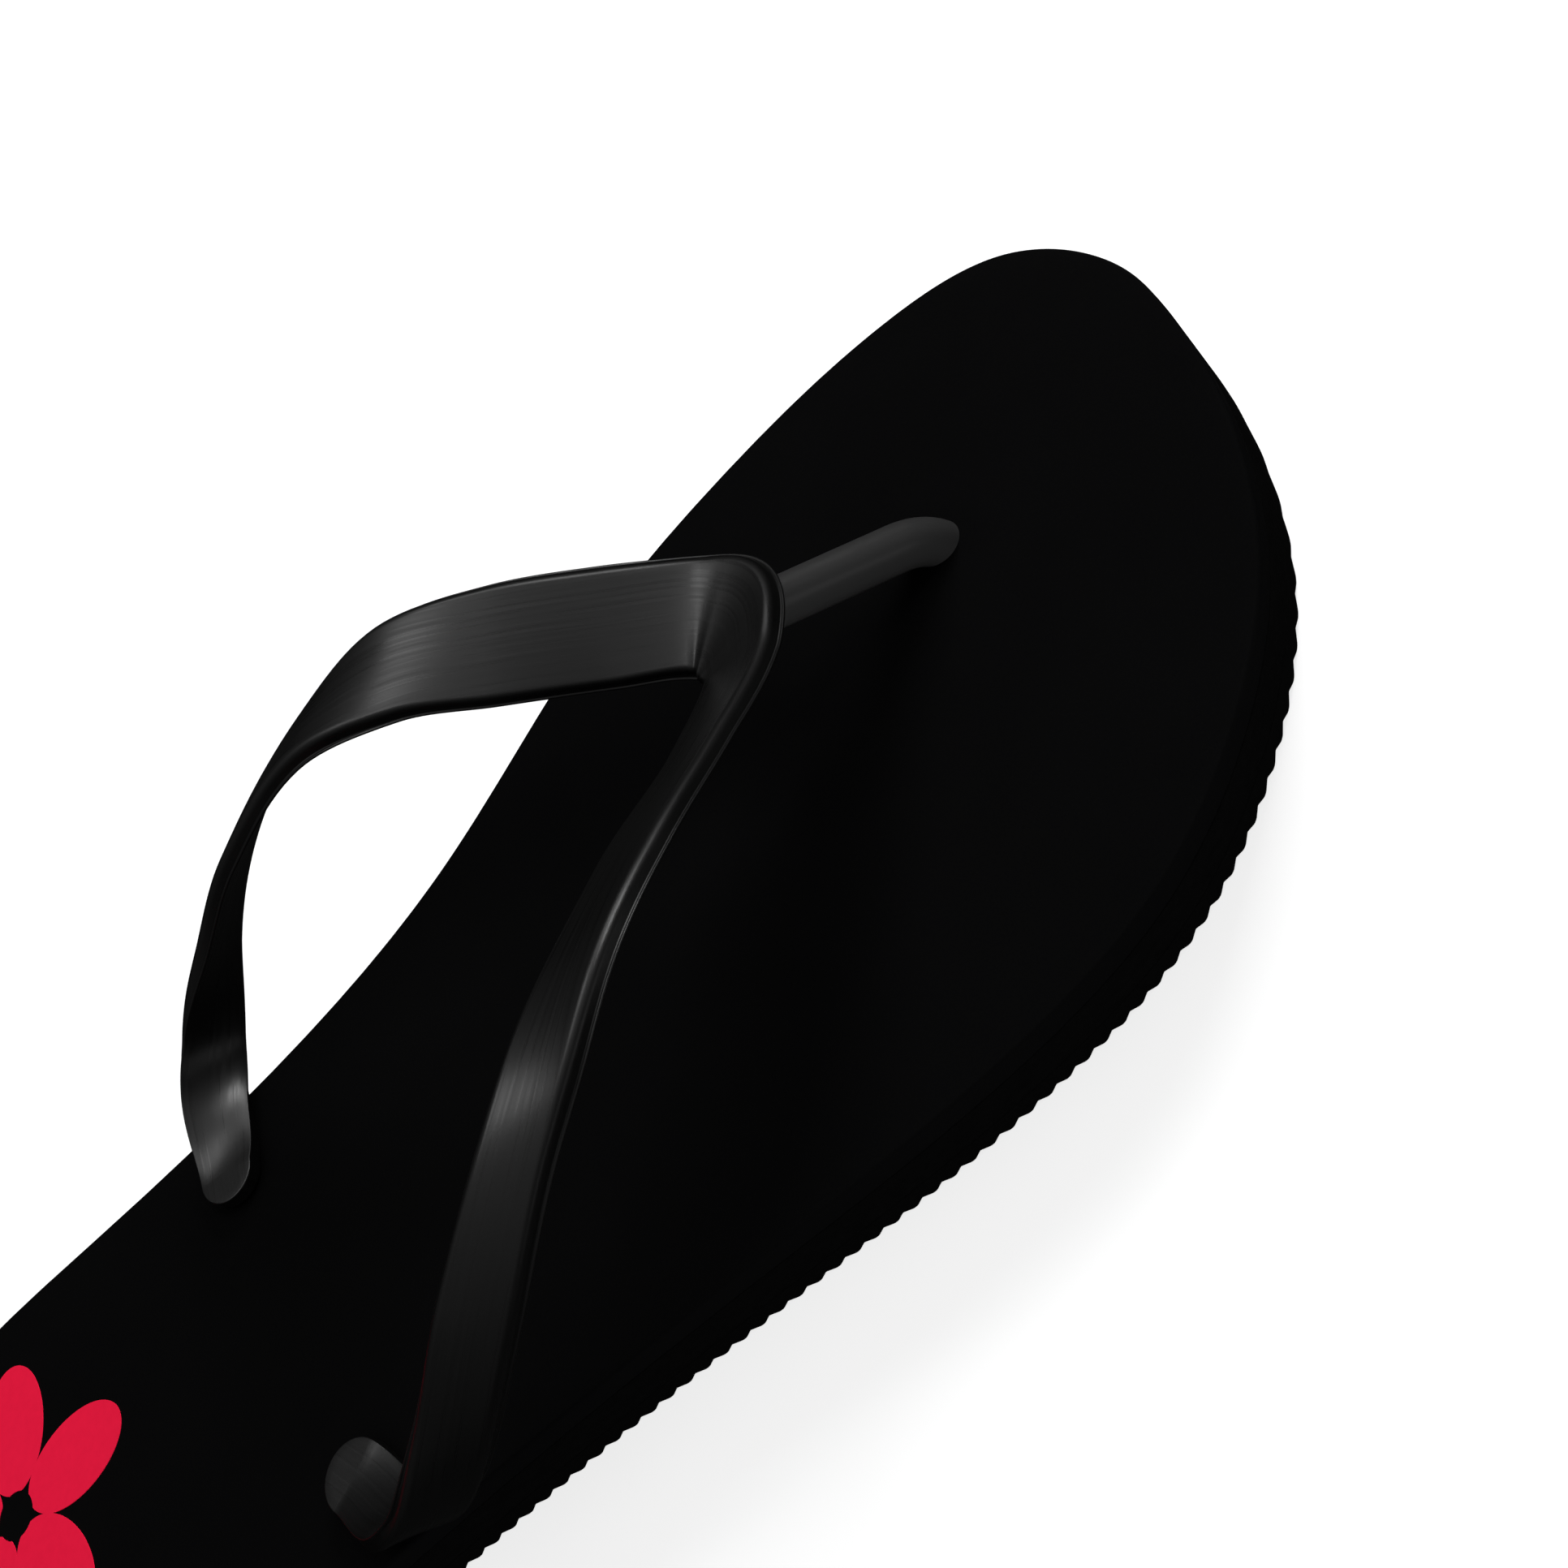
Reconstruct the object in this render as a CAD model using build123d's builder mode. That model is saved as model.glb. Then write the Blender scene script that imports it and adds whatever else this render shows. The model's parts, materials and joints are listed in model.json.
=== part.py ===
from build123d import *
import math
import os

os.makedirs("parts", exist_ok=True)

# A right-foot flip flop: a footbed sheet, a foam midsole and a ribbed outsole in one flat stack,
# a moulded Y-shaped strap whose plugs are pulled through three holes, and a printed motif.
# +X points to the toe, +Y to the inner (big toe) side and +Z up. The origin is on the ground,
# under the middle of the sole. Lengths are millimetres and angles are degrees.

# Sole: overall size and the thickness of each layer
sole_length = 275.0
ball_width = 102.0
outsole_thickness = 3.5
midsole_thickness = 5.5
footbed_thickness = 3.5
edge_round = 0.6

midsole_bottom = outsole_thickness
footbed_bottom = midsole_bottom + midsole_thickness
footbed_top = footbed_bottom + footbed_thickness

# Tread: V-shaped grooves straight across the outsole, open at both edges of the sole
groove_pitch = 3.0
groove_width = 2.4
groove_depth = 0.8
groove_count = int(sole_length / groove_pitch) + 1

# Strap: its middle line slants towards the big toe as it runs forward
strap_slant = 0.12
v_forward = 70.8
v_height = 32.0
v_width = 17.6
v_thickness = 2.8
v_lean = -14
corner_share = 0.38

# Toe post: a round bar with a domed root under the V. It leaves at a slant and turns down into
# the sole. It runs a little more to the inner side than the strap does. Its path is given as
# the distance ahead of the V's middle, and the height.
post_radius = 3.2
post_slant = 0.15
post_start = (3.2, 30.4)
post_bend = (20.9, 17.6)
post_bend_radius = 12.0

# Side anchors: where the two tongues lie on the footbed
anchor_forward = -35.5
anchor_outward = 26.5
tongue_radius = 4.7
tongue_thickness = 2.4
tongue_lift = 0.1
tongue_height = footbed_top + tongue_lift + tongue_thickness / 2
stem_radius = 3.2

# Plugs under the sole, in round recesses
plug_radius = 6.5
plug_bottom = 1.4
plug_thickness = 3.1
recess_clearance = 0.7
recess_radius = plug_radius + recess_clearance
plug_top = plug_bottom + plug_thickness

# Printed motif on the heel half of the footbed: a flower with five round petals
print_thickness = 0.1
flower_centre = (-89.0, 7.0)
petal_count = 5
petal_length = 19.0
petal_width = 12.0
petal_reach = 12.5
eye_radius = 3.4


def sole_outline():
    """The sole seen from above, once round from the toe tip by the inner side."""
    toe = sole_length / 2
    half = ball_width / 2
    return [
        (toe, 18),
        (136.2, 29.5),
        (129, 41.2),
        (112, 48.6),
        (82, half),
        (52, 47.9),
        (15, 36.4),
        (-22, 32.4),
        (-60, 34.2),
        (-95, 35.5),
        (-122, 26.5),
        (-toe, -1.5),
        (-122, -29.5),
        (-95, -38.5),
        (-40, -41.9),
        (18, -46.8),
        (64, -half),
        (87, -48.5),
        (105, -40),
        (119.5, -27.5),
        (132, -5.5),
    ]


def strap_place(forward, outward, height):
    """A point of the strap, measured outward from its slanting middle line."""
    return Vector(forward, strap_slant * forward + outward, height)


def strap_turn(along):
    """A direction given about the middle line, turned into the shoe's own axes."""
    return Vector(along.X, strap_slant * along.X + along.Y, along.Z).normalized()


# Stations along one branch of the strap, from the middle of the V to the tongue:
# forward, outward, height, width, thickness and lean. Lean rolls the band about its length.
# At 0 its outer face looks up, at 90 away from the foot, and at 180 down onto the footbed.
branch_stations = [
    (v_forward, 0.0, v_height, v_width, v_thickness, v_lean),
    (68.8, 5.3, 32.2, 14.9, 2.7, -20.4),
    (59.5, 12.9, 36.2, 15.1, 2.6, -27.5),
    (47.5, 21.1, 42.1, 14.9, 2.6, -25.3),
    (35.0, 29.5, 45.8, 12.7, 2.6, -17.3),
    (19.0, 37.1, 44.0, 10.0, 2.6, 20.5),
    (0.5, 42.7, 36.5, 10.9, 2.6, 31.5),
    (-15.0, 44.5, 26.9, 10.0, 2.6, 50.5),
    (-25.5, 42.5, 19.6, 9.4, 2.6, 101),
    (-31.5, 36.5, 16.0, 9.6, 2.5, 145),
    (anchor_forward, anchor_outward, tongue_height, 9.4, tongue_thickness, 178),
]
steps_between = 3


def smooth_value(a, b, c, d, share):
    """A smooth curve through four values, at a share of the way from b to c."""
    cubic = 3 * (b - c) + d - a
    square = 2 * a - 5 * b + 4 * c - d
    return b + 0.5 * share * (c - a + share * (square + share * cubic))


def smooth_stations():
    """The branch's stations with smoothly placed ones added between them."""
    first = branch_stations[1]
    mirrored = (first[0], -first[1], first[2], first[3], first[4], first[5])
    beyond = [2 * q - p for p, q in zip(branch_stations[-2], branch_stations[-1])]
    listed = [mirrored] + branch_stations + [beyond]
    result = []
    for span in range(len(branch_stations) - 1):
        for step in range(steps_between):
            share = step / steps_between
            corners = zip(*listed[span : span + 4])
            result.append([smooth_value(*values, share) for values in corners])
    return result + [list(branch_stations[-1])]


def branch_sections(side):
    """For each station a plane across the band, the band's width and its thickness.
    The plane's X runs from the rear edge to the front edge, and its Z along the band,
    towards the inner side of the foot."""
    stations = smooth_stations()
    points = [Vector(s[0], s[1], s[2]) for s in stations]
    before = [Vector(points[1].X, -points[1].Y, points[1].Z)] + points[:-1]
    after = points[1:] + [points[-1] * 2 - points[-2]]
    sections = []
    for station, point, last, following in zip(stations, points, before, after):
        along = (following - last).normalized()
        level = along.cross(Vector(0, 0, 1)).normalized()
        upward = level.cross(along)
        lean = math.radians(station[5])
        across = level * math.cos(lean) - upward * math.sin(lean)
        outer = across.cross(along)
        rear_to_front = strap_turn(Vector(across.X, side * across.Y, across.Z))
        outward = strap_turn(Vector(outer.X, side * outer.Y, outer.Z))
        plane = Plane(
            origin=strap_place(point.X, side * point.Y, point.Z),
            x_dir=rear_to_front,
            z_dir=outward.cross(rear_to_front),
        )
        sections.append((plane, station[3], station[4]))
    return sections


# The vertical plane that the post lies in: X forward from the V's middle, Y up
post_plane = Plane(
    origin=strap_place(v_forward, 0, 0),
    x_dir=Vector(1, post_slant, 0),
    z_dir=Vector(post_slant, -1, 0),
)

# The angle at which the post falls, and where its bend ends, pointing straight down
post_fall = math.atan2(post_start[1] - post_bend[1], post_bend[0] - post_start[0])
post_foot = post_bend[0] + post_bend_radius * (1 - math.sin(post_fall))
post_place = post_plane.from_local_coords(Vector(post_foot, 0, 0))

anchor_places = [
    (anchor_forward, strap_slant * anchor_forward + side * anchor_outward) for side in (1, -1)
]
hole_places = anchor_places + [post_place]


# ---------------------------------------------------------------- strap
with BuildPart() as strap:
    # one flat band, lofted from the outer tongue, through the V, to the inner tongue
    for plane, width, thickness in branch_sections(-1)[:0:-1] + branch_sections(1):
        with BuildSketch(plane):
            RectangleRounded(width, thickness, thickness * corner_share)
    loft(ruled=True)
    # toe post
    with BuildLine(post_plane) as post_path:
        slope = Line(post_start, post_bend)
        bend = JernArc(
            start=slope @ 1,
            tangent=slope % 1,
            radius=post_bend_radius,
            arc_size=-(90 - math.degrees(post_fall)),
        )
        Line(bend @ 1, (post_foot, plug_top))
    with BuildSketch(Plane(origin=slope @ 0, z_dir=slope % 0)):
        Circle(post_radius)
    sweep(path=post_path.wire())
    with Locations(slope @ 0):
        Sphere(post_radius)
    # round tongue ends, and the stems that go down through the sole
    with BuildSketch(Plane.XY.offset(footbed_top)):
        with Locations(*anchor_places):
            Circle(tongue_radius)
    extrude(amount=tongue_thickness)
    with BuildSketch(Plane.XY.offset(plug_top)):
        with Locations(*anchor_places):
            Circle(stem_radius)
    extrude(amount=footbed_top + tongue_thickness / 2 - plug_top)
    # plugs
    with BuildSketch(Plane.XY.offset(plug_bottom)):
        with Locations(*hole_places):
            Circle(plug_radius)
    extrude(amount=plug_thickness)
strap.part.label = "strap"


# ---------------------------------------------------------------- footbed
with BuildPart() as footbed:
    with BuildSketch(Plane.XY.offset(footbed_bottom)):
        with BuildLine():
            Spline(*sole_outline(), periodic=True)
        make_face()
    extrude(amount=footbed_thickness)
    fillet(footbed.faces().sort_by(Axis.Z)[-1].edges(), edge_round)
    add(strap.part, mode=Mode.SUBTRACT)
footbed.part.label = "footbed"


# ---------------------------------------------------------------- midsole
with BuildPart() as midsole:
    with BuildSketch(Plane.XY.offset(midsole_bottom)):
        with BuildLine():
            Spline(*sole_outline(), periodic=True)
        make_face()
    extrude(amount=midsole_thickness)
    with BuildSketch(Plane.XY.offset(midsole_bottom)):
        with Locations(*hole_places):
            Circle(recess_radius)
    extrude(amount=plug_top - midsole_bottom, mode=Mode.SUBTRACT)
    add(strap.part, mode=Mode.SUBTRACT)
midsole.part.label = "midsole"


# ---------------------------------------------------------------- outsole
with BuildPart() as outsole:
    with BuildSketch():
        with BuildLine():
            Spline(*sole_outline(), periodic=True)
        make_face()
        with Locations(*hole_places):
            Circle(recess_radius, mode=Mode.SUBTRACT)
    extrude(amount=outsole_thickness)
    with BuildSketch(Plane.XZ):
        with GridLocations(groove_pitch, 0, groove_count, 1):
            Polygon((-groove_width / 2, 0), (groove_width / 2, 0), (0, groove_depth), align=None)
    extrude(amount=ball_width, both=True, mode=Mode.SUBTRACT)
outsole.part.label = "outsole"


# ---------------------------------------------------------------- printed motif
with BuildPart() as heel_print:
    with BuildSketch(Plane.XY.offset(footbed_top)):
        with Locations(flower_centre):
            with PolarLocations(petal_reach, petal_count):
                Ellipse(petal_length / 2, petal_width / 2)
            Circle(eye_radius, mode=Mode.SUBTRACT)
    extrude(amount=print_thickness)
heel_print.part.label = "heel_print"


export_step(footbed.part, "parts/footbed.step")
export_step(midsole.part, "parts/midsole.step")
export_step(outsole.part, "parts/outsole.step")
export_step(strap.part, "parts/strap.step")
export_step(heel_print.part, "parts/heel_print.step")
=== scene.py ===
import json
import math

import bmesh
import bpy
import numpy as np
from mathutils import Matrix, Vector, geometry

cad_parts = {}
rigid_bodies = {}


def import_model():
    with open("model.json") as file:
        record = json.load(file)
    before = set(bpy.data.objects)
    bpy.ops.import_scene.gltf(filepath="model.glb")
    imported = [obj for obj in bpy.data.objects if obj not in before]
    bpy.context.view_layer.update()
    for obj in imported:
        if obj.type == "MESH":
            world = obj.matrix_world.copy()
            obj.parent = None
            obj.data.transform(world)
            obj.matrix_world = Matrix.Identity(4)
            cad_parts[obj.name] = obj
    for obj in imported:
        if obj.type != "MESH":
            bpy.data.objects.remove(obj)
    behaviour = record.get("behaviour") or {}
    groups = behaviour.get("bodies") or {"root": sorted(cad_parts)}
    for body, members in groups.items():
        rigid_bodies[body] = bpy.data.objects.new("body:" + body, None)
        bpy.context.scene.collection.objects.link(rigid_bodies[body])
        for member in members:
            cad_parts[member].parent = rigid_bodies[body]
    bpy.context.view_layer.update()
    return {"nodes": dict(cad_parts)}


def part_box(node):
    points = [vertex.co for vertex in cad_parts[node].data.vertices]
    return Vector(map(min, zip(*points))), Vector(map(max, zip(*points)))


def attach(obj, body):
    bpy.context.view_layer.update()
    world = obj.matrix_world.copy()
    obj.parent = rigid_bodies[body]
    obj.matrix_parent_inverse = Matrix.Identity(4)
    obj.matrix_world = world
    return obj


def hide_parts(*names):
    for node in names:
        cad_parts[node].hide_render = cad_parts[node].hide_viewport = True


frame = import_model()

# The looks of a right-foot flip flop: a foam footbed and midsole, a ribbed rubber outsole and a
# satin rubber strap. All lengths below are millimetres in the row's frame until add_mesh()
# turns them into metres: +X to the toe, +Y to the inner side, +Z up, the ground at 0.
MM = 0.001


def lowest(node):
    return np.array(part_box(node)[0]) / MM


def highest(node):
    return np.array(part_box(node)[1]) / MM


outsole_top = highest("outsole")[2]
midsole_top = highest("midsole")[2]
footbed_top = highest("footbed")[2]

# Shading: edges sharper than this stay sharp
smooth_angle = math.radians(35)

# Finding the CAD rim: points this close are one, and a face's normal turns by this much from
# flat bottom to wall. These two are metres and a share, as they are used on the CAD's mesh.
same_place = 1e-6
upright_turn = 0.5

# Sole: its outline, and the rounds along its edges
outline_spacing = 1.0
outline_softness = 1.0
points_at_once = 1500
footbed_round = 0.6
footbed_round_steps = 6
seam_round = 0.25
seam_round_steps = 4
recess_round_steps = 3
hole_segments = 64
join_distance = 1e-5

# Footbed: its top is a fine grid that sinks a little round each hole
footbed_grid = 2.5
grid_margin = 1.5
dimple_depth = 0.25
dimple_width = 2.2
dimple_rings = (0.3, 0.7, 1.2, 1.8, 2.5, 3.5, 4.8)

# Tread: distance from the middle of a ridge, and the height of the surface there
groove_pitch = 3.0
tread_profile = ((0.0, 0.0), (0.18, 0.0), (0.4, 0.08), (1.34, 0.72), (1.5, 0.8))

# Strap, as in the CAD part: forward, outward, height, width, thickness and lean
strap_slant = 0.12
branch_stations = [
    (70.8, 0.0, 32.0, 17.6, 2.8, -14),
    (68.8, 5.3, 32.2, 14.9, 2.7, -20.4),
    (59.5, 12.9, 36.2, 15.1, 2.6, -27.5),
    (47.5, 21.1, 42.1, 14.9, 2.6, -25.3),
    (35.0, 29.5, 45.8, 12.7, 2.6, -17.3),
    (19.0, 37.1, 44.0, 10.0, 2.6, 20.5),
    (0.5, 42.7, 36.5, 10.9, 2.6, 31.5),
    (-15.0, 44.5, 26.9, 10.0, 2.6, 50.5),
    (-25.5, 42.5, 19.6, 9.4, 2.6, 101),
    (-31.5, 36.5, 16.0, 9.6, 2.5, 145),
    (-35.5, 26.5, footbed_top + 1.3, 9.4, 2.4, 178),
]
steps_between = 12
corner_blend = 5.0
tongue_plain = 6.0
tongue_blend = 14.0
tongue_steps = 24

# The band's section: how far the shoulder comes in from the wall and down from the face, and
# the thin lip along the foot of the wall. The tongues have only a small round.
crown = 0.12
face_shares = (0, 0.25, 0.5, 0.75, 0.92)
shoulder_reach = 1.1
shoulder_drop = 1.2
shoulder_steps = 12
tongue_round = 0.35
lip_width = 0.42
lip_height = 0.4
lip_round = 0.16
lip_steps = 3
smallest_round = 0.001
under_round = 0.2
under_steps = 5
under_shares = (0.75, 0.5, 0.25, 0)
weld_distance = 1e-7

# Points between wall and lip: out, as a share of the lip's width, and up from the lip
lip_fillet = ((0, 0.12), (0.25, 0.02))

# Toe post: forward from the V's middle, and up
post_slant = 0.15
post_start = (3.2, 30.4)
post_bend = (20.9, 17.6)
post_bend_radius = 12.0
post_radius = 3.2
post_segments = 48
slope_steps = 16
bend_steps = 20
drop_steps = 6
dome_turns = np.radians(np.linspace(89.5, 6, 12))

# Plugs with a shallow dish below, their stems, and the recesses they stand in
stem_radius = 3.2
plug_radius = 6.5
plug_bottom = 1.4
plug_round = 0.8
plug_round_steps = 6
plug_top = 4.5
rim_round = 0.4
rim_round_steps = 4
dish_depth = 0.35
dish_radii = (0.01, 2.0, 2.6)
recess_radius = 7.2
recess_step = 0.04

# How far pieces of the strap run into each other where they join
post_overlap = 0.5
plug_overlap = 1.0
tongue_overlap = 1.2


# ------------------------------------------------------------------ mesh helpers
def add_mesh(name, points, faces, material):
    """A new piece from points in millimetres, riding on the part's one body."""
    mesh = bpy.data.meshes.new(name)
    mesh.from_pydata((np.asarray(points) * MM).tolist(), [], [list(map(int, f)) for f in faces])
    mesh.validate()
    piece = bpy.data.objects.new(name, mesh)
    bpy.context.scene.collection.objects.link(piece)
    shade(piece)
    mesh.materials.append(material)
    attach(piece, "root")
    return piece


def shade(piece):
    """Smooth shading, with its sharper edges left sharp."""
    piece.data.shade_smooth()
    piece.data.set_sharp_from_angle(angle=smooth_angle)


def circle(centre, radius, count=hole_segments):
    turn = np.linspace(0, 2 * math.pi, count, endpoint=False)
    return np.stack([centre[0] + radius * np.cos(turn), centre[1] + radius * np.sin(turn)], 1)


# ------------------------------------------------------------------ the sole's outline
def bottom_rim(node):
    """The longest closed loop of edges between a node's flat bottom and its wall."""
    mesh = bmesh.new()
    mesh.from_mesh(frame["nodes"][node].data)
    bmesh.ops.remove_doubles(mesh, verts=mesh.verts, dist=same_place)
    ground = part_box(node)[0].z
    following = {}
    for edge in mesh.edges:
        flat = all(abs(v.co.z - ground) < same_place for v in edge.verts)
        if flat and len(edge.link_faces) == 2:
            if abs(edge.link_faces[0].normal.z - edge.link_faces[1].normal.z) > upright_turn:
                for here, there in (edge.verts, reversed(edge.verts)):
                    following.setdefault(here, []).append(there)
    loops = []
    while following:
        here = next(iter(following))
        loop = []
        while here in following:
            loop.append((here.co.x, here.co.y))
            onward = [v for v in following.pop(here) if v in following]
            here = onward[0] if onward else None
        loops.append(np.array(loop) / MM)
    mesh.free()
    return max(loops, key=len)


def even_loop(loop, spacing, softness):
    """The loop with evenly spaced points and its small facets smoothed away, anticlockwise."""
    closed = np.vstack([loop, loop[:1]])
    reach = np.concatenate([[0], np.cumsum(np.linalg.norm(np.diff(closed, axis=0), axis=1))])
    count = int(reach[-1] / spacing)
    places = np.linspace(0, reach[-1], count, endpoint=False)
    even = np.stack([np.interp(places, reach, closed[:, axis]) for axis in (0, 1)], 1)
    waves = np.fft.fftfreq(count, d=reach[-1] / count)[:, None]
    weight = np.exp(-2 * (math.pi * waves * softness) ** 2)
    even = np.real(np.fft.ifft(np.fft.fft(even, axis=0) * weight, axis=0))
    following = np.roll(even, -1, axis=0)
    area = np.sum(even[:, 0] * following[:, 1] - following[:, 0] * even[:, 1])
    return even if area > 0 else even[::-1]


outline = even_loop(bottom_rim("footbed"), outline_spacing, outline_softness)


def inset_loop(distance):
    """The outline moved inward."""
    along = np.roll(outline, -1, axis=0) - np.roll(outline, 1, axis=0)
    along /= np.linalg.norm(along, axis=1)[:, None]
    return outline + distance * np.stack([-along[:, 1], along[:, 0]], 1)


def inset_of(points):
    """How far each point is from the outline."""
    start = outline
    run = np.roll(outline, -1, axis=0) - outline
    length = np.sum(run * run, axis=1)
    result = []
    for some in np.array_split(points, max(1, len(points) // points_at_once)):
        offset = some[:, None] - start
        share = np.clip(np.sum(offset * run, axis=2) / length, 0, 1)
        result.append(np.linalg.norm(offset - share[..., None] * run, axis=2).min(axis=1))
    return np.concatenate(result)


def hole_centres():
    """The middles of the three plugs, from the strap's lowest points."""
    points = np.array([v.co for v in frame["nodes"]["strap"].data.vertices]) / MM
    low = points[points[:, 2] < lowest("strap")[2] + 0.1]
    groups = (low[:, 0] > 0, (low[:, 0] < 0) & (low[:, 1] > 0), (low[:, 0] < 0) & (low[:, 1] < 0))
    return [(low[g].min(axis=0)[:2] + low[g].max(axis=0)[:2]) / 2 for g in groups]


post_place, *anchors = hole_centres()
plug_holes = [post_place] + anchors
# the footbed's front hole, where the slanting post goes in
entry_shift = (-0.95, -0.14)
footbed_holes = [post_place + entry_shift] + anchors


# ------------------------------------------------------------------ sole plates
def round_rings(radius, steps):
    """Distances from an edge at which a quarter round of that radius needs its rings."""
    return [radius * (1 - math.cos(math.pi / 2 * step / steps)) for step in range(1, steps + 1)]


def round_drop(distance, radius):
    """How far a quarter round has fallen away at a distance from the edge."""
    inside = radius - np.minimum(distance, radius)
    return radius - np.sqrt(radius**2 - inside**2)


def plate(name, material, insets, holes, hole_radii, extra_points, lines, bottom, top):
    """A closed plate inside the outline. bottom and top give heights from the plan points,
    their distance from the outline and their distance from the nearest hole's middle."""
    loops = [outline] + [inset_loop(d) for d in insets]
    loops += [circle(centre, radius) for centre in holes for radius in hole_radii]
    plan = [tuple(p) for loop in loops for p in loop]
    edges = []
    start = 0
    for loop in loops:
        edges += [(start + i, start + (i + 1) % len(loop)) for i in range(len(loop))]
        start += len(loop)
    for line in lines:
        edges.append((len(plan), len(plan) + 1))
        plan += [tuple(p) for p in line]
    plan += [tuple(p) for p in extra_points]
    made = geometry.delaunay_2d_cdt([Vector(p) for p in plan], edges, [], 1, join_distance)
    points = np.array([tuple(v) for v in made[0]])
    faces = np.array(made[2])
    middles = points[faces].mean(axis=1)
    from_hole = np.min([np.linalg.norm(middles - c, axis=1) for c in holes], axis=0)
    faces = faces[from_hole > hole_radii[0] * math.cos(math.pi / hole_segments)]
    used = np.unique(faces)
    renumber = np.full(len(points), -1)
    renumber[used] = np.arange(len(used))
    points = points[used]
    faces = renumber[faces]
    inset = inset_of(points)
    hole = np.min([np.linalg.norm(points - c, axis=1) for c in holes], axis=0)
    under = np.column_stack([points, bottom(points, inset, hole)])
    over = np.column_stack([points, top(points, inset, hole)])
    count = len(points)
    directed = {(a, b) for f in faces for a, b in zip(f, np.roll(f, -1))}
    rim = [(a, b) for a, b in directed if (b, a) not in directed]
    walls = [(a, b, b + count, a + count) for a, b in sorted(rim)]
    shell = [tuple(f[::-1]) for f in faces] + [tuple(f + count) for f in faces] + walls
    return add_mesh(name, np.vstack([under, over]), shell, material)


def tread_height(forward):
    """The tread's surface above the ground, at a place along the sole."""
    from_ridge = np.abs((forward / groove_pitch + 0.5) % 1 - 0.5) * groove_pitch
    return np.interp(from_ridge, *zip(*tread_profile))


def tread_lines():
    """Lines straight across the sole wherever the tread's profile has a corner."""
    toe = highest("outsole")[0]
    side = highest("outsole")[1]
    ridges = range(-int(toe / groove_pitch) - 1, int(toe / groove_pitch) + 2)
    aside = [sign * corner for corner, _ in tread_profile for sign in (1, -1)]
    places = [ridge * groove_pitch + step for ridge in ridges for step in aside]
    return [((x, -side), (x, side)) for x in sorted(set(np.round(places, 4))) if abs(x) < toe]


def make_footbed(material):
    def top(points, inset, hole):
        dimple = dimple_depth * np.exp(-(((hole - stem_radius) / dimple_width) ** 2))
        return footbed_top - round_drop(inset, footbed_round) - dimple

    def bottom(points, inset, hole):
        return midsole_top + round_drop(inset, seam_round)

    low, high = lowest("footbed"), highest("footbed")
    across = np.arange(low[1], high[1], footbed_grid)
    forward = np.arange(low[0], high[0], footbed_grid)
    grid = np.stack(np.meshgrid(forward, across), -1).reshape(-1, 2)
    core = inset_loop(grid_margin)
    keep = [p for p in grid if contains(core, p)]
    hole_radii = [stem_radius] + [stem_radius + ring for ring in dimple_rings]
    insets = round_rings(footbed_round, footbed_round_steps)
    return plate("footbed_sheet", material, insets, footbed_holes, hole_radii,
                 keep, [], bottom, top)


def contains(loop, point):
    """Whether a point lies inside a loop."""
    following = np.roll(loop, -1, axis=0)
    spans = (loop[:, 1] > point[1]) != (following[:, 1] > point[1])
    a, b = loop[spans], following[spans]
    crossing = a[:, 0] + (point[1] - a[:, 1]) / (b[:, 1] - a[:, 1]) * (b[:, 0] - a[:, 0])
    return np.count_nonzero(crossing > point[0]) % 2 == 1


def make_midsole(material):
    def top(points, inset, hole):
        return midsole_top - round_drop(inset, seam_round)

    def bottom(points, inset, hole):
        pocket = hole < recess_radius - recess_step / 2
        return np.where(pocket, plug_top, outsole_top + round_drop(inset, seam_round))

    hole_radii = [stem_radius, recess_radius - recess_step, recess_radius]
    insets = round_rings(seam_round, seam_round_steps)
    return plate("midsole_core", material, insets, plug_holes, hole_radii,
                 [], [], bottom, top)


def make_outsole(material):
    def top(points, inset, hole):
        return outsole_top - round_drop(inset, seam_round)

    def bottom(points, inset, hole):
        edge = np.minimum(inset, np.maximum(hole - recess_radius, 0))
        return tread_height(points[:, 0]) + round_drop(edge, seam_round)

    rings = round_rings(seam_round, recess_round_steps)
    hole_radii = [recess_radius] + [recess_radius + ring for ring in rings]
    insets = round_rings(seam_round, seam_round_steps)
    return plate("outsole_tread", material, insets, plug_holes, hole_radii,
                 [], tread_lines(), bottom, top)


# ------------------------------------------------------------------ strap
def smooth_stations():
    """The branch's stations with smoothly placed ones between them. The last runs out level."""
    first, last, before = branch_stations[1], branch_stations[-1], branch_stations[-2]
    mirrored = (first[0], -first[1], *first[2:])
    beyond = [2 * q - p for p, q in zip(before, last)]
    beyond[2] = before[2]
    listed = np.array([mirrored] + branch_stations + [beyond], float)
    gaps = np.linalg.norm(np.diff(listed[:, :3], axis=0), axis=1)[:, None]
    slopes = (listed[2:] - listed[:-2]) / (gaps[:-1] + gaps[1:])
    result = []
    for span in range(len(branch_stations) - 1):
        start, end, gap = listed[span + 1], listed[span + 2], gaps[span + 1]
        for share in np.arange(steps_between) / steps_between:
            eased = share * share * (3 - 2 * share)
            leave = share * (1 - share) ** 2 * gap * slopes[span]
            arrive = share * share * (share - 1) * gap * slopes[span + 1]
            result.append(start + eased * (end - start) + leave + arrive)
    return np.array(result + [listed[-2]])


def unit(rows):
    return rows / np.linalg.norm(rows, axis=-1, keepdims=True)


def slant(rows):
    """Turns places or directions given about the strap's middle line into the shoe's axes."""
    return rows + strap_slant * rows[..., :1] * np.array([0, 1, 0])


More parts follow.
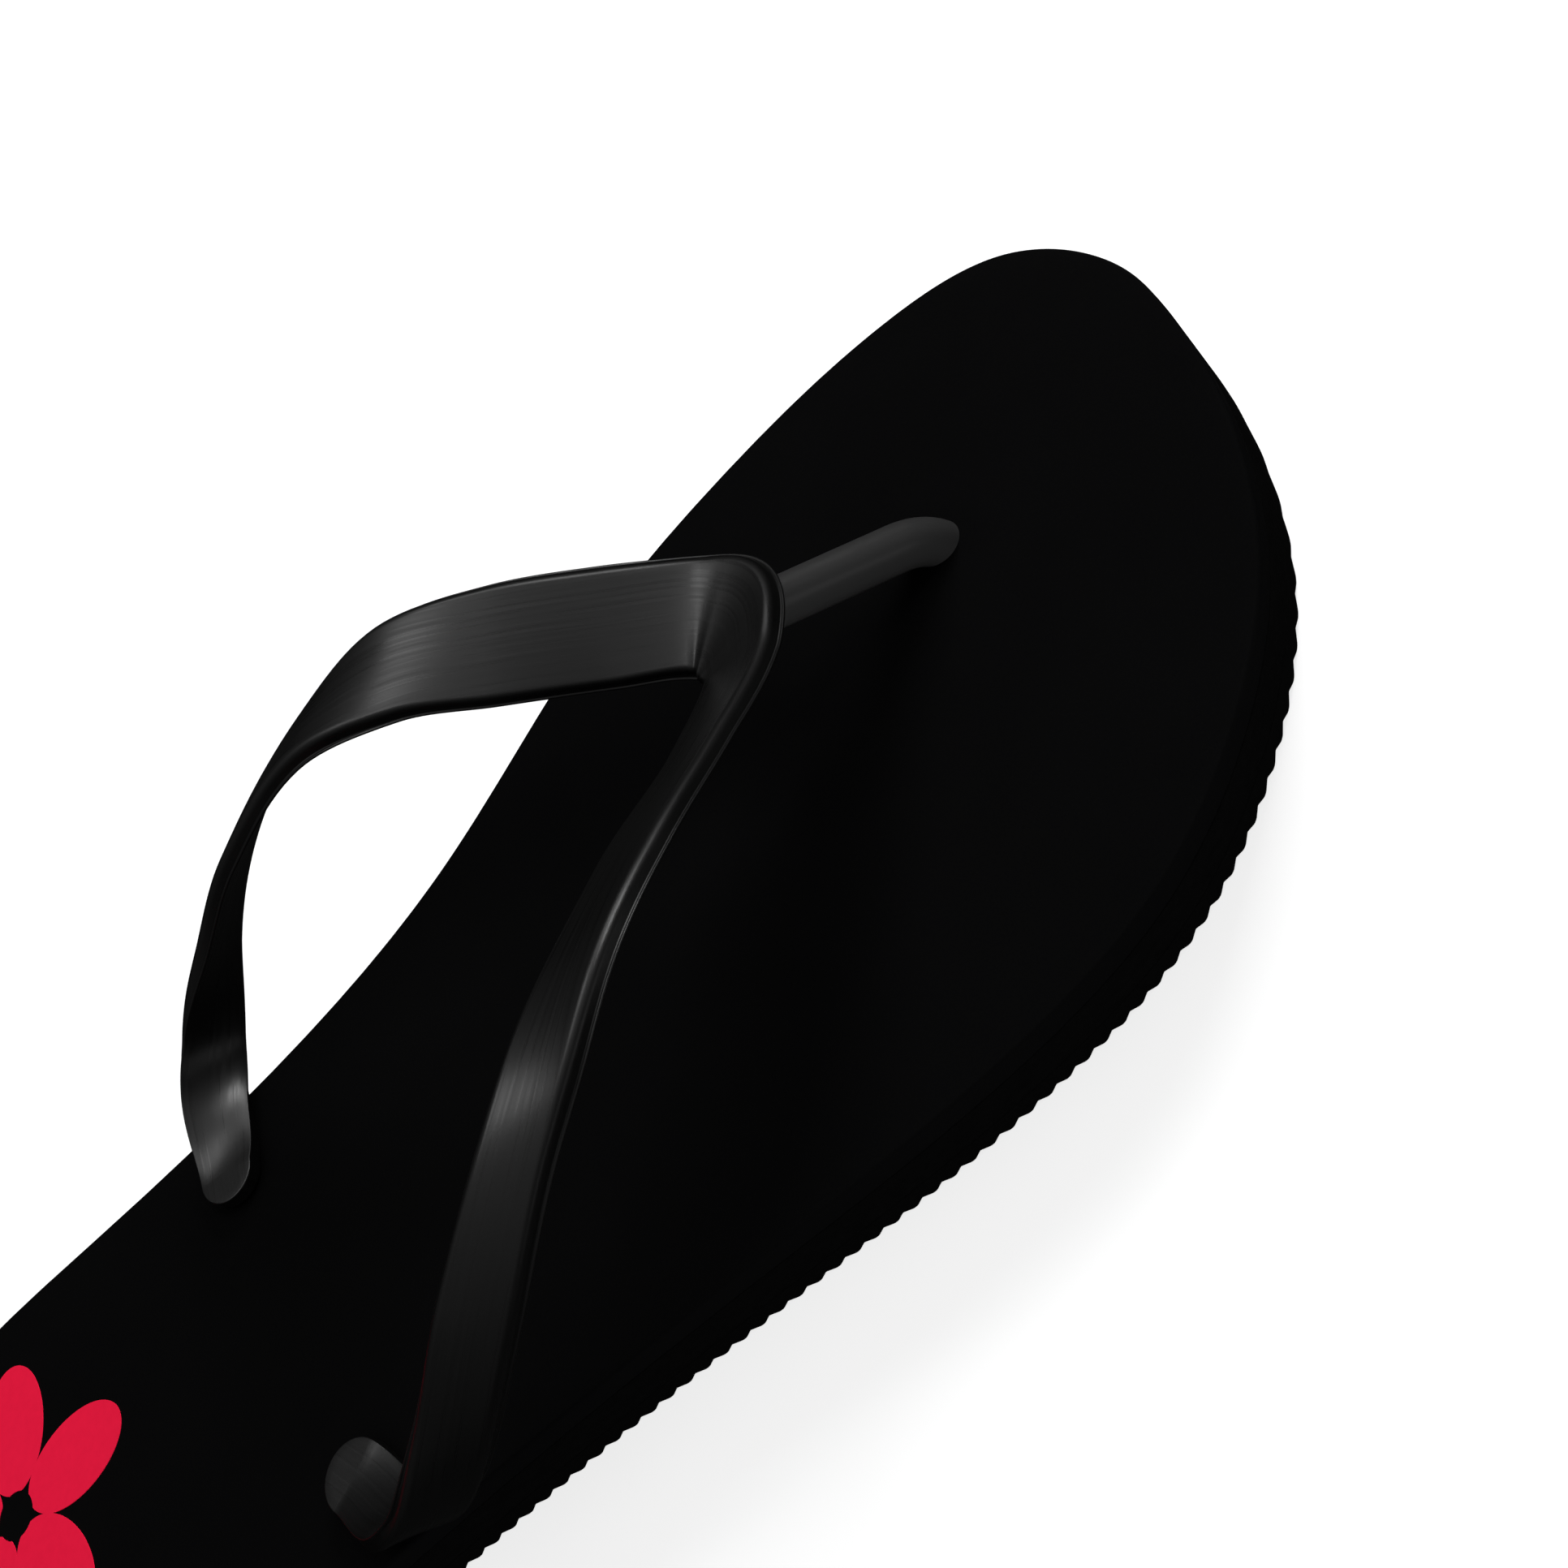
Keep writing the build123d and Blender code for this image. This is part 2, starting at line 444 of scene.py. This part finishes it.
def branch_frames(side):
    """For each station: its place, the directions from rear to front edge, out of the outer
    face and towards the inner side of the foot, and the width and thickness."""
    stations = smooth_stations()
    points = stations[:, :3]
    before = np.vstack([points[1] * [1, -1, 1], points[:-1]])
    after = np.vstack([points[1:], 2 * points[-1] - points[-2]])
    along = unit(after - before)
    along[-1] = unit(along[-1] * [1, 1, 0])
    level = unit(np.cross(along, [0, 0, 1]))
    upward = np.cross(level, along)
    lean = np.radians(stations[:, 5:6])
    across = level * np.cos(lean) - upward * np.sin(lean)
    outer = np.cross(across, along)
    place = slant(points * [1, side, 1])
    across = slant(across * [1, side, 1])
    outer = slant(outer * [1, side, 1])
    facing = unit(across)
    outer = unit(outer - facing * np.sum(outer * facing, axis=1)[:, None])
    return place, across, outer, np.cross(outer, facing), stations[:, 3], stations[:, 4]


def arc(centre, radius, start, end, steps):
    """Points of an arc. The radius is one number, or a pair for an ellipse."""
    reach, rise = radius if isinstance(radius, tuple) else (radius, radius)
    turn = np.radians(np.linspace(start, end, steps + 1))
    return [(centre[0] + reach * math.cos(t), centre[1] + rise * math.sin(t)) for t in turn]


def half_profile(width, thickness, plain):
    """Half of the band's section, from the middle of its outer face round its front edge to the
    middle of its underside. Where plain is 1 it has small rounds only, and no lip."""
    half, top = width / 2, thickness / 2
    lip = lip_width * (1 - plain)
    wall = half - lip
    reach = shoulder_reach + (tongue_round - shoulder_reach) * plain
    drop = shoulder_drop + (tongue_round - shoulder_drop) * plain
    lip_top = -top + lip_height
    tip = min(lip_round, lip / 2 + smallest_round)
    flat = wall - reach
    face = [(flat * s, top - crown * s * s) for s in face_shares]
    face += arc((flat, top - crown - drop), (reach, drop), 90, 0, shoulder_steps)
    face += [(wall + out * lip, lip_top + up) for out, up in lip_fillet]
    face += arc((half - tip, lip_top - tip), tip, 90, 0, lip_steps)
    face += arc((half - under_round, -top + under_round), under_round, 0, -90, under_steps)
    face += [((half - under_round) * s, -top) for s in under_shares]
    return np.array(face)


def branch_edges(side):
    """For each station of a branch: its rear and front edges, the outward normals there, the
    direction along it and its thickness. Round the V's inner corner the sections fan out from
    one rear point."""
    place, across, outer, along, width, thickness = branch_frames(side)
    rear = place - across * width[:, None] / 2
    front = place + across * width[:, None] / 2
    outward = side * (rear[:, 1] - strap_slant * rear[:, 0])
    last = int(np.max(np.nonzero(outward[: len(outward) // 2] <= same_place)[0]))
    share = -outward[last] / (outward[last + 1] - outward[last])
    corner = rear[last] + share * (rear[last + 1] - rear[last])
    rear[: last + 1] = corner
    thickness[: last + 1] = thickness[last + 1]
    away = np.linalg.norm(rear - corner, axis=1)[:, None]
    rear_outer = unit(outer[0] + np.clip(away / corner_blend, 0, 1) * (outer - outer[0]))
    return rear, front, rear_outer, outer, along, thickness


def place_ring(ring, width, rear, front, rear_outer, front_outer):
    """Puts a section between its rear and front edges, turning the normal across it."""
    share = ring[:, :1] / width + 0.5
    normal = unit(rear_outer + share * (front_outer - rear_outer))
    return rear + share * (front - rear) + ring[:, 1:] * normal


def tongue_end(rear, front, outer, along, half):
    """Half of the section turned about the tongue's middle."""
    middle = (rear + front) / 2
    across = unit(front - rear)
    rows = []
    for turn in np.linspace(0, math.pi, tongue_steps + 1):
        outward = across * math.cos(turn) + along * math.sin(turn)
        rows.append(middle + half[:, :1] * outward + half[:, 1:] * outer)
    return rows


def make_band():
    """The band's points, faces and, for each point, its place across and along the band."""
    low_side = [part[:0:-1] for part in branch_edges(-1)]
    high_side = branch_edges(1)
    rear, front, rear_outer, front_outer, along, thickness = (
        np.concatenate(pair) for pair in zip(low_side, high_side)
    )
    count = len(rear)
    middles = (rear + front) / 2
    widths = np.linalg.norm(front - rear, axis=1)
    steps = np.linalg.norm(np.diff(middles, axis=0), axis=1)
    reach = np.concatenate([[0], np.cumsum(steps)])
    from_end = np.minimum(reach, reach[-1] - reach)
    plain = 1 - np.clip((from_end - tongue_plain) / tongue_blend, 0, 1)
    halves = [half_profile(*values) for values in zip(widths, thickness, plain)]
    points, across_place, along_place, faces = [], [], [], []
    for i, half in enumerate(halves):
        ring = np.vstack([half, half[-2:0:-1] * [-1, 1]])
        edges = (rear[i], front[i], rear_outer[i], front_outer[i])
        points.append(place_ring(ring, widths[i], *edges))
        across_place.append(ring[:, 0])
        along_place.append(np.full(len(ring), reach[i]))
    faces += grid_faces(0, count, len(points[0]), True)
    for i, sign in ((0, -1), (count - 1, 1)):
        start = sum(len(p) for p in points)
        rows = tongue_end(rear[i], front[i], front_outer[i], sign * along[i], halves[i])
        points += rows
        turns = np.linspace(0, math.pi, len(rows))
        across_place += [halves[i][:, 0] * math.cos(turn) for turn in turns]
        along_place += [reach[i] + sign * halves[i][:, 0] * math.sin(turn) for turn in turns]
        faces += grid_faces(start, len(rows), len(halves[i]), False)
    return np.vstack(points), faces, np.concatenate(across_place), np.concatenate(along_place)


def grid_faces(start, rows, size, closed):
    """Faces between rows of points of equal size, which may each close on themselves."""
    faces = []
    for row in range(rows - 1):
        for j in range(size if closed else size - 1):
            a = start + row * size + j
            b = start + row * size + (j + 1) % size
            faces.append((a, b, b + size, a + size))
    return faces


def loft_rings(rings):
    """A closed tube through rings of points."""
    size = len(rings[0])
    last = (len(rings) - 1) * size
    ends = [tuple(range(size))[::-1], tuple(range(last, last + size))]
    return np.vstack(rings), grid_faces(0, len(rings), size, True) + ends


def post_path():
    """The post's middle line in its upright plane: forward from the V's middle, and up."""
    start, bend = np.array(post_start), np.array(post_bend)
    fall = math.atan2(start[1] - bend[1], bend[0] - start[0])
    slope = [start + (bend - start) * s for s in np.linspace(0, 1, slope_steps)]
    centre = bend - post_bend_radius * np.array([math.sin(fall), math.cos(fall)])
    turns = np.linspace(math.pi / 2 - fall, 0, bend_steps)[1:]
    curve = [centre + post_bend_radius * np.array([math.cos(t), math.sin(t)]) for t in turns]
    foot = curve[-1]
    heights = np.linspace(foot[1], plug_top, drop_steps) - post_overlap
    drop = [np.array([foot[0], height]) for height in heights]
    return np.array(slope + curve + drop)


def make_post():
    """The toe post, with a dome at its root under the V."""
    path = post_path()
    ahead = unit(np.array([1, post_slant, 0.0]))
    sideways = np.array([-ahead[1], ahead[0], 0])
    up = np.array([0, 0, 1.0])
    origin = slant(np.array([branch_stations[0][0], 0, 0]))
    tangent = unit(np.gradient(path, axis=0))
    root = [(post_radius * math.sin(t), post_radius * math.cos(t)) for t in dome_turns]
    path = np.vstack([path[0] - np.outer([back for back, _ in root], tangent[0]), path])
    tangent = np.vstack([np.repeat(tangent[:1], len(root), axis=0), tangent])
    radii = [radius for _, radius in root] + [post_radius] * (len(path) - len(root))
    rings = []
    for (forward, height), (run, rise), radius in zip(path, tangent, radii):
        middle = origin + ahead * forward + up * height
        normal = up * run - ahead * rise
        ring = circle((0, 0), radius, post_segments)
        rings.append(middle + ring[:, :1] * sideways + ring[:, 1:] * normal)
    return loft_rings(rings)


def make_plug(centre, height):
    """A plug and its stem, turned about an upright axis."""
    dish = (plug_bottom + dish_depth, plug_bottom + dish_depth, plug_bottom)
    foot = (plug_radius - plug_round, plug_bottom + plug_round)
    rim = (plug_radius - rim_round, plug_top - rim_round)
    profile = list(zip(dish_radii, dish))
    profile += arc(foot, plug_round, -90, 0, plug_round_steps)
    profile += arc(rim, rim_round, 0, 90, rim_round_steps)
    profile += [(stem_radius, plug_top), (stem_radius, height)]
    rings = []
    for radius, z in profile:
        ring = circle(centre, radius, post_segments)
        rings.append(np.column_stack([ring, np.full(len(ring), z)]))
    return loft_rings(rings)


def make_strap(material):
    points, faces, round_place, along_place = make_band()
    strap = add_mesh("strap_moulding", points, faces, material)
    layer = strap.data.uv_layers.new(name="band")
    for loop in strap.data.loops:
        place = loop.vertex_index
        layer.data[loop.index].uv = (round_place[place] * MM, along_place[place] * MM)
    weld(strap)
    solids = [make_post(), make_plug(post_place, plug_top + plug_overlap)]
    solids += [make_plug(centre, footbed_top + tongue_overlap) for centre in anchors]
    others = bpy.data.collections.new("strap_parts")
    for number, (shell_points, shell_faces) in enumerate(solids):
        mesh = bpy.data.meshes.new(f"strap_part_{number}")
        mesh.from_pydata((shell_points * MM).tolist(), [], shell_faces)
        mesh.materials.append(material)
        others.objects.link(bpy.data.objects.new(mesh.name, mesh))
    union = strap.modifiers.new("union", "BOOLEAN")
    union.operation = "UNION"
    union.solver = "EXACT"
    union.operand_type = "COLLECTION"
    union.collection = others
    apply_modifiers(strap)
    for other in list(others.objects):
        bpy.data.objects.remove(other)
    bpy.data.collections.remove(others)
    shade(strap)
    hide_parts("strap")


def weld(piece):
    mesh = bmesh.new()
    mesh.from_mesh(piece.data)
    bmesh.ops.remove_doubles(mesh, verts=mesh.verts, dist=weld_distance)
    bmesh.ops.recalc_face_normals(mesh, faces=mesh.faces)
    if mesh.calc_volume(signed=True) < 0:
        bmesh.ops.reverse_faces(mesh, faces=mesh.faces)
    mesh.to_mesh(piece.data)
    mesh.free()


def apply_modifiers(piece):
    """Bakes a piece's modifiers into its mesh."""
    bpy.context.view_layer.update()
    made = bpy.data.meshes.new_from_object(
        piece.evaluated_get(bpy.context.evaluated_depsgraph_get())
    )
    piece.modifiers.clear()
    piece.data = made


# ------------------------------------------------------------------ materials
# Looks. Colours are dark and light, roughness is smoothest and roughest, textures are cells per
# metre along each axis, and a bump is its height in metres and how strongly it shows.
footbed_look = {
    "plain": {"colour": (0.002, 0.002, 0.002), "roughness": 0.8, "specular": 0.03},
    "colours": ((0.0011, 0.0011, 0.0012), (0.0019, 0.0019, 0.002)),
    "roughness": (0.66, 0.84),
    "grain": (2400, 2400, 2400),
    "patches": (45, 45, 45),
    "bump": (0.00006, 0.5),
}
midsole_look = {
    "plain": {"colour": (0.001, 0.001, 0.001), "roughness": 0.85, "specular": 0.02},
    "colours": ((0.0007, 0.0007, 0.0007), (0.0016, 0.0016, 0.0016)),
    "cells": (1800, 1800, 1800),
    "grain": (500, 500, 900),
    "bump": (0.00012, 0.5),
}
outsole_look = {
    "plain": {"colour": (0.001, 0.001, 0.001), "roughness": 0.7, "specular": 0.03},
    "colours": ((0.0007, 0.0007, 0.0007), (0.0016, 0.0016, 0.0016)),
    "roughness": (0.6, 0.8),
    "grain": (1500, 1500, 1500),
    "bump": (0.00005, 0.4),
}
strap_look = {
    "plain": {"colour": (0.002, 0.002, 0.002), "roughness": 0.3, "specular": 0.5},
    # the band's dark colour, and a lighter one painted on the post as the light that falls on it
    "colours": ((0.0015, 0.0015, 0.0015), (0.018, 0.018, 0.018)),
    "roughness": (0.24, 0.4),
    "streaks": (2200, 18, 1),
    "streak_range": (0.3, 0.7),
    "streak_bump": (0.00002, 0.5),
    "grain": (3000, 3000, 3000),
    "grain_bump": (0.00002, 0.3),
}
print_look = {
    "plain": {"colour": (0.80, 0.008, 0.048), "roughness": 0.6, "specular": 0.05},
    "colours": ((0.8, 0.008, 0.046), (0.88, 0.011, 0.054)),
    "mottle": (900, 900, 900),
    "bump": (0.00002, 0.4),
}

# Painted light: the post is all that lies under a sloping plane just below the V, and it takes the
# strap's lighter colour in place of the light that falls on it. The plane's rise with the distance
# forward, and the heights in metres between which the colour changes
v_rise = 0.274
post_limit = (0.0104, 0.0108)


class Nodes:
    """A material's node tree, with short calls for the nodes used here."""

    def __init__(self, name, colour, roughness, specular):
        self.material = bpy.data.materials.new(name)
        self.material.use_nodes = True
        self.tree = self.material.node_tree
        self.shader = self.tree.nodes["Principled BSDF"]
        self.shader.inputs["Base Color"].default_value = (*colour, 1)
        self.shader.inputs["Roughness"].default_value = roughness
        self.shader.inputs["Specular IOR Level"].default_value = specular

    def add(self, kind, settings=None, **inputs):
        node = self.tree.nodes.new(kind)
        for key, value in (settings or {}).items():
            setattr(node, key, value)
        for key, value in inputs.items():
            socket = node.inputs[key.replace("_", " ")]
            if isinstance(value, bpy.types.NodeSocket):
                self.tree.links.new(value, socket)
            else:
                socket.default_value = value
        return node

    def place(self, scale):
        """Places on the piece, in the row's frame, times a scale on each axis."""
        coordinates = self.add("ShaderNodeTexCoord")
        mapping = self.add("ShaderNodeMapping", Vector=coordinates.outputs["Object"], Scale=scale)
        return mapping.outputs["Vector"]

    def noise(self, place, detail=3.0, roughness=0.5):
        inputs = {"Vector": place, "Scale": 1.0, "Detail": detail, "Roughness": roughness}
        return self.add("ShaderNodeTexNoise", **inputs).outputs["Fac"]

    def between(self, value, low, high, start=0.0, end=1.0):
        """A value remapped from start..end to low..high."""
        inputs = {"From Min": start, "From Max": end, "To Min": low, "To Max": high}
        return self.add("ShaderNodeMapRange", Value=value, **inputs).outputs["Result"]

    def colours(self, value, dark, light):
        node = self.add("ShaderNodeValToRGB", Fac=value)
        node.color_ramp.elements[0].color = (*dark, 1)
        node.color_ramp.elements[1].color = (*light, 1)
        return node.outputs["Color"]

    def bump(self, height, distance, strength=1.0, under=None):
        inputs = {"Height": height, "Distance": distance, "Strength": strength}
        if under is not None:
            inputs["Normal"] = under
        return self.add("ShaderNodeBump", **inputs).outputs["Normal"]

    def into(self, socket, value):
        self.tree.links.new(value, self.shader.inputs[socket])


def footbed_material():
    m = Nodes("footbed foam", **footbed_look["plain"])
    grain = m.noise(m.place(footbed_look["grain"]), 2.0, 0.6)
    patches = m.noise(m.place(footbed_look["patches"]))
    m.into("Base Color", m.colours(patches, *footbed_look["colours"]))
    m.into("Roughness", m.between(grain, *footbed_look["roughness"]))
    m.into("Normal", m.bump(grain, *footbed_look["bump"]))
    return m.material


def midsole_material():
    m = Nodes("midsole foam", **midsole_look["plain"])
    cells = m.add("ShaderNodeTexVoronoi", Vector=m.place(midsole_look["cells"]), Scale=1.0)
    grain = m.noise(m.place(midsole_look["grain"]), 4.0, 0.6)
    m.into("Base Color", m.colours(grain, *midsole_look["colours"]))
    m.into("Normal", m.bump(cells.outputs["Distance"], *midsole_look["bump"]))
    return m.material


def outsole_material():
    m = Nodes("outsole rubber", **outsole_look["plain"])
    grain = m.noise(m.place(outsole_look["grain"]), 4.0, 0.6)
    m.into("Base Color", m.colours(grain, *outsole_look["colours"]))
    m.into("Roughness", m.between(grain, *outsole_look["roughness"]))
    m.into("Normal", m.bump(grain, *outsole_look["bump"]))
    return m.material


def strap_material():
    """Satin rubber with fine streaks along the band. The post has a lighter grey painted on as
    light falling on it.
    """
    m = Nodes("strap rubber", **strap_look["plain"])
    band = m.add("ShaderNodeUVMap", {"uv_map": "band"}).outputs["UV"]
    lengthwise = m.add("ShaderNodeMapping", Vector=band, Scale=strap_look["streaks"])
    streaks = m.noise(lengthwise.outputs["Vector"], 3.0, 0.6)
    grain = m.noise(m.place(strap_look["grain"]), 2.0)
    # painted light: the post, under a plane just below the V, gets the lighter colour
    under_v = m.add("ShaderNodeVectorMath", {"operation": "DOT_PRODUCT"}, Vector=m.place((1, 1, 1)))
    under_v.inputs[1].default_value = (-v_rise, 0, 1)
    painted_post_light = m.between(under_v.outputs["Value"], 1, 0, *post_limit)
    m.into("Base Color", m.colours(painted_post_light, *strap_look["colours"]))
    m.into("Roughness", m.between(streaks, *strap_look["roughness"], *strap_look["streak_range"]))
    fine = m.bump(grain, *strap_look["grain_bump"])
    m.into("Normal", m.bump(streaks, *strap_look["streak_bump"], fine))
    return m.material


def print_material():
    m = Nodes("print ink", **print_look["plain"])
    mottle = m.noise(m.place(print_look["mottle"]))
    m.into("Base Color", m.colours(mottle, *print_look["colours"]))
    m.into("Normal", m.bump(mottle, *print_look["bump"]))
    return m.material


# ------------------------------------------------------------------ stage
camera_azimuth = 11.94
camera_elevation = 48.0
camera_roll = 54.17
camera_distance = 279.0
camera_aim = (60.3, 1.5, footbed_top)
camera_lens = 50.1
camera_sensor = 36
camera_clip = 0.01

# Soft lights: the direction each stands in, how far up, its distance and size in metres, and its
# power. Gloss lights are only seen in reflections, and matt lights only on matt surfaces.
gloss_lights = {
    "high_light": (60, 75, 0.9, (0.34, 0.34), 1.0),
    "inner_light": (-38, 63, 1.0, (0.6, 0.25), 1.2),
    "toe_light": (-86, 62, 1.0, (0.26, 0.26), 2.3),
    "near_light": (-150, 8, 1.0, (0.9, 0.4), 0.4),
}
matt_lights = {
    "low_light": (-45, 25, 1.0, (0.5, 0.3), 14),
    "fill_light": (-165, 10, 1.0, (0.6, 0.3), 6),
}

# Sky: how far up it stands, from the horizon at 0 to overhead at 1, and its brightness
sky = ((0.0, 0.008), (0.25, 0.02), (0.56, 0.1), (0.74, 0.24), (0.9, 0.38), (1.0, 0.54))
floor_reach = 30.0
floor_colour = 0.4
floor_roughness = 0.9
floor_glow = 0.75


def add_camera():
    data = bpy.data.cameras.new("camera")
    data.sensor_width = camera_sensor
    data.lens = camera_lens
    data.clip_start = camera_clip
    camera = bpy.data.objects.new("camera", data)
    bpy.context.scene.collection.objects.link(camera)
    azimuth = Matrix.Rotation(math.radians(camera_azimuth), 4, "Z")
    tilt = Matrix.Rotation(math.radians(90 - camera_elevation), 4, "X")
    roll = Matrix.Rotation(math.radians(-camera_roll), 4, "Z")
    aim = Matrix.Translation(Vector(camera_aim) * MM)
    back = Matrix.Translation((0, 0, camera_distance * MM))
    camera.matrix_world = aim @ azimuth @ tilt @ roll @ back
    bpy.context.scene.camera = camera


def add_softbox(name, azimuth, elevation, distance, size, power):
    """A soft light that faces the shoe's middle. At azimuth 0 it stands to the inner side of
    the shoe, and at 90 behind the heel."""
    light = bpy.data.lights.new(name, "AREA")
    light.shape = "RECTANGLE"
    light.size, light.size_y = size
    light.energy = power
    lamp = bpy.data.objects.new(name, light)
    a, e = math.radians(azimuth), math.radians(elevation)
    toward = Vector((-math.sin(a) * math.cos(e), math.cos(a) * math.cos(e), math.sin(e)))
    lamp.location = toward * distance
    lamp.rotation_mode = "QUATERNION"
    lamp.rotation_quaternion = toward.to_track_quat("Z", "Y")
    bpy.context.scene.collection.objects.link(lamp)
    return lamp


def add_floor():
    """A plain white floor that glows a little, so that shadows on it stay faint."""
    mesh = bpy.data.meshes.new("floor")
    low, high = -floor_reach, floor_reach
    corners = [(low, low, 0), (high, low, 0), (high, high, 0), (low, high, 0)]
    mesh.from_pydata(corners, [], [(0, 1, 2, 3)])
    floor = bpy.data.objects.new("floor", mesh)
    m = Nodes("floor", (floor_colour,) * 3, floor_roughness, 0.0)
    m.shader.inputs["Emission Color"].default_value = (1, 1, 1, 1)
    m.shader.inputs["Emission Strength"].default_value = floor_glow
    mesh.materials.append(m.material)
    bpy.context.scene.collection.objects.link(floor)
    floor.visible_glossy = False


def add_sky():
    """Soft light from all round, brighter towards the top."""
    world = bpy.data.worlds.new("world")
    world.use_nodes = True
    tree = world.node_tree
    place = tree.nodes.new("ShaderNodeTexCoord")
    split = tree.nodes.new("ShaderNodeSeparateXYZ")
    ramp = tree.nodes.new("ShaderNodeValToRGB").color_ramp
    stops = [ramp.elements[0], ramp.elements[1]] + [ramp.elements.new(0.5) for _ in sky[2:]]
    for (height, brightness), stop in zip(sky, sorted(stops, key=lambda stop: stop.position)):
        stop.color = (brightness, brightness, brightness, 1)
        stop.position = height
    background = tree.nodes["Background"]
    colours = tree.nodes["Color Ramp"]
    tree.links.new(place.outputs["Generated"], split.inputs["Vector"])
    tree.links.new(split.outputs["Z"], colours.inputs["Fac"])
    tree.links.new(colours.outputs["Color"], background.inputs["Color"])
    bpy.context.scene.world = world


add_camera()
add_floor()
add_sky()
for name, values in gloss_lights.items():
    add_softbox(name, *values).visible_diffuse = False
for name, values in matt_lights.items():
    add_softbox(name, *values).visible_glossy = False
bpy.context.scene.view_settings.view_transform = "Standard"

footbed = make_footbed(footbed_material())
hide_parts("footbed")
midsole = make_midsole(midsole_material())
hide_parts("midsole")
outsole = make_outsole(outsole_material())
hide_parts("outsole")
make_strap(strap_material())
frame["nodes"]["heel_print"].data.materials.clear()
frame["nodes"]["heel_print"].data.materials.append(print_material())
